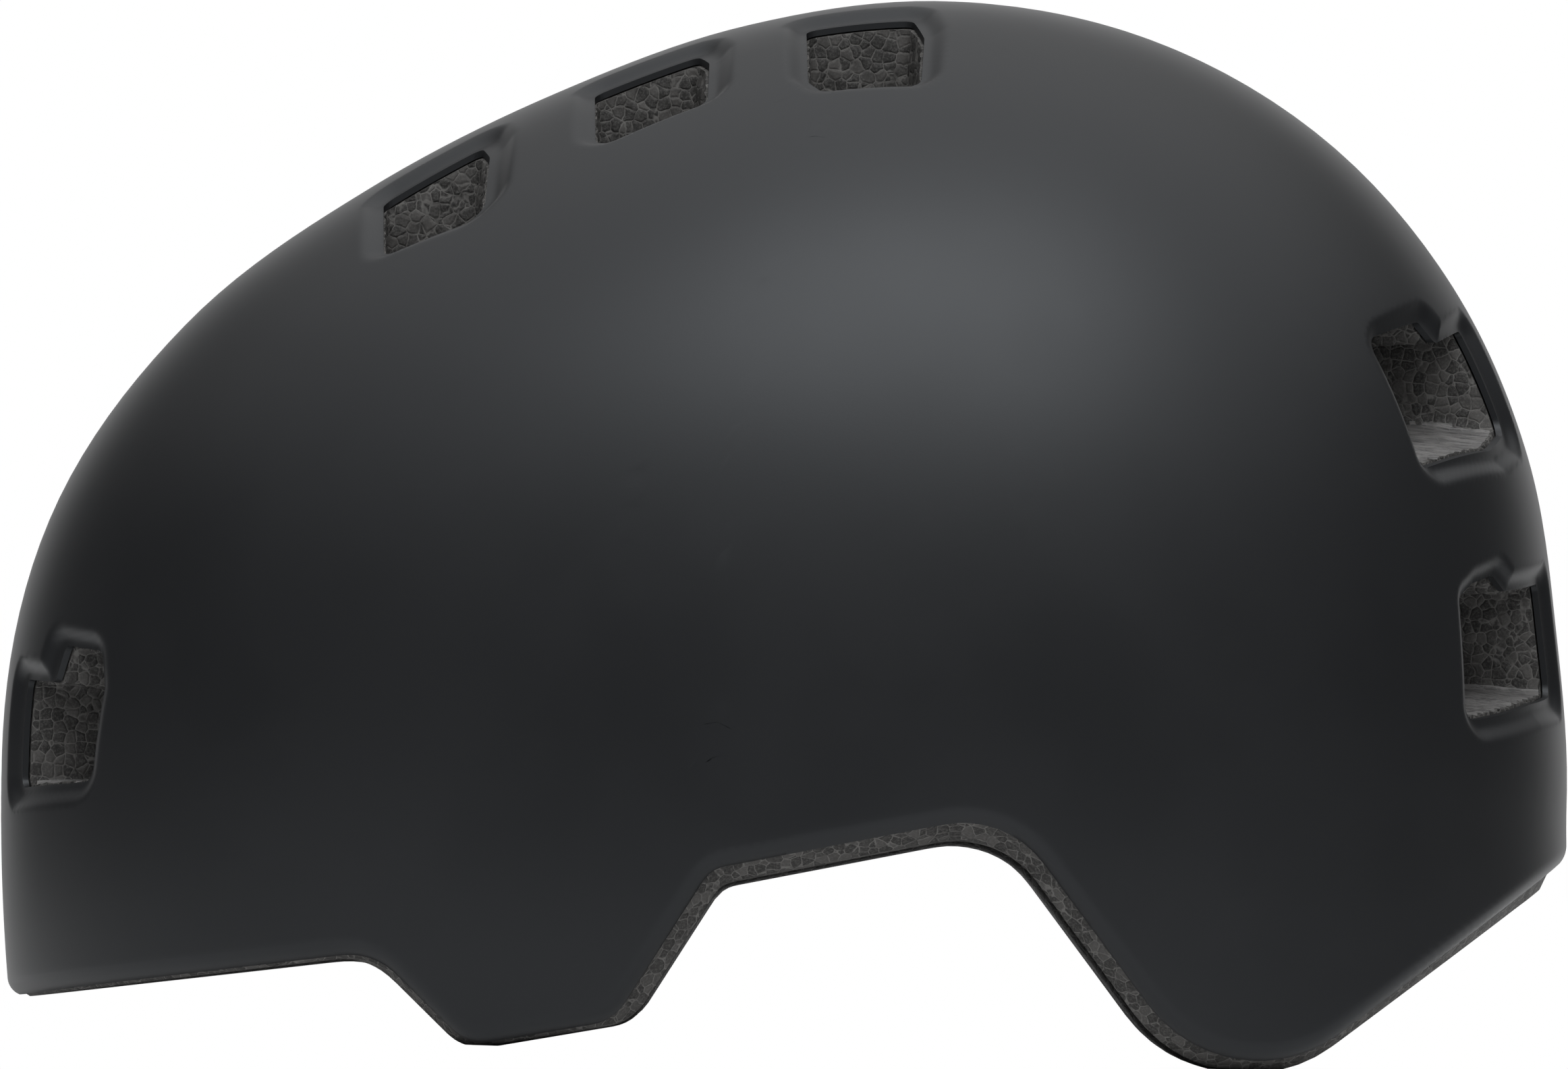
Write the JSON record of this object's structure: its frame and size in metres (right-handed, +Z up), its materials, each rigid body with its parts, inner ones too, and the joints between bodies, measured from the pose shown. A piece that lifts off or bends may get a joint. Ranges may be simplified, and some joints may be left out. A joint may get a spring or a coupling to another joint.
{
  "type": "bicycle helmet",
  "caption": "Vented bicycle helmet: matte moulded shell over a foam liner, with comfort pads, dial-fit cradle, webbing harness and side-release buckle.",
  "frame": {"origin": "on the ground plane under the middle of the shell's box; the helmet stands on the four lobes of its lower edge", "axes": "+X to the back of the helmet, the brow is at -X; +Y to the wearer's right; +Z up"},
  "size_m": [0.2799, 0.212, 0.1885],
  "materials": {
    "shell": "matte black moulded polycarbonate, finely grained, slightly worn along the edges",
    "foam": null,
    "pad_cloth": "black knitted cloth over soft foam",
    "hook_tape": "black hook fastener",
    "plastic": "black moulded nylon",
    "dial": "black soft-touch plastic",
    "webbing": "black woven polyester webbing",
    "steel": "zinc-plated steel"
  },
  "bodies": {
    "helmet": {"outer_shell": "shell", "eps_liner": "foam", "brow_pad": "pad_cloth", "crown_pad_front": "pad_cloth", "crown_pad_rear": "pad_cloth", "side_pad_front_left": "pad_cloth", "side_pad_front_right": "pad_cloth", "side_pad_rear_left": "pad_cloth", "side_pad_rear_right": "pad_cloth", "hook_discs": "hook_tape", "temple_anchor_left": "plastic", "temple_anchor_right": "plastic", "height_rail": "plastic", "strap_anchors": "plastic", "front_strap_left": "webbing", "front_strap_right": "webbing", "rear_strap_left": "webbing", "rear_strap_right": "webbing", "cam_lock_left": "plastic", "cam_lock_right": "plastic", "chin_strap_left": "webbing", "chin_strap_right": "webbing", "buckle_socket": "plastic", "chin_pad": "pad_cloth"},
    "cradle": {"cradle_band": "plastic", "height_strip": "plastic", "dial_housing": "plastic", "housing_cover": "plastic", "cover_screws": "steel", "nape_pad": "pad_cloth", "detent_spring": "steel"},
    "dial": {"dial_knob": "dial", "dial_pinion": "plastic", "dial_screw": "steel"},
    "belt_left": {"fit_belt_left": "plastic"},
    "belt_right": {"fit_belt_right": "plastic"},
    "lever_left": {"cam_lever_left": "plastic"},
    "lever_right": {"cam_lever_right": "plastic"},
    "tongue": {"buckle_tongue": "plastic"}
  },
  "joints": [
    {"name": "cradle_tilt", "type": "hinge", "parent": "helmet", "child": "cradle", "pos_m": [-0.06, 0, 0.062], "axis": [0, 1, 0], "range_deg": [-3.5, 3.5]},
    {"name": "dial_turn", "type": "hinge", "parent": "cradle", "child": "dial", "pos_m": [0.105, 0, 0.027], "axis": [-1, 0, 0], "range_deg": [0, 114.5]},
    {"name": "belt_left_slide", "type": "slide", "parent": "cradle", "child": "belt_left", "axis": [0, 1, 0], "range_m": [0, 0.008]},
    {"name": "belt_right_slide", "type": "slide", "parent": "cradle", "child": "belt_right", "axis": [0, -1, 0], "range_m": [0, 0.008]},
    {"name": "cam_lever_left_turn", "type": "hinge", "parent": "helmet", "child": "lever_left", "pos_m": [0.024, -0.06647, 0.10321], "axis": [1, 0, 0], "range_deg": [0, 80]},
    {"name": "cam_lever_right_turn", "type": "hinge", "parent": "helmet", "child": "lever_right", "pos_m": [0.024, 0.06647, 0.10321], "axis": [-1, 0, 0], "range_deg": [0, 80]},
    {"name": "buckle_release", "type": "slide", "parent": "helmet", "child": "tongue", "axis": [0, -1, 0], "range_m": [0, 0.014], "deforming": ["chin_strap_left"]}
  ],
  "couplings": [
    {"joint": "belt_left_slide", "follows": "dial_turn", "m_per_rad": 0.004},
    {"joint": "belt_right_slide", "follows": "dial_turn", "m_per_rad": 0.004}
  ]
}
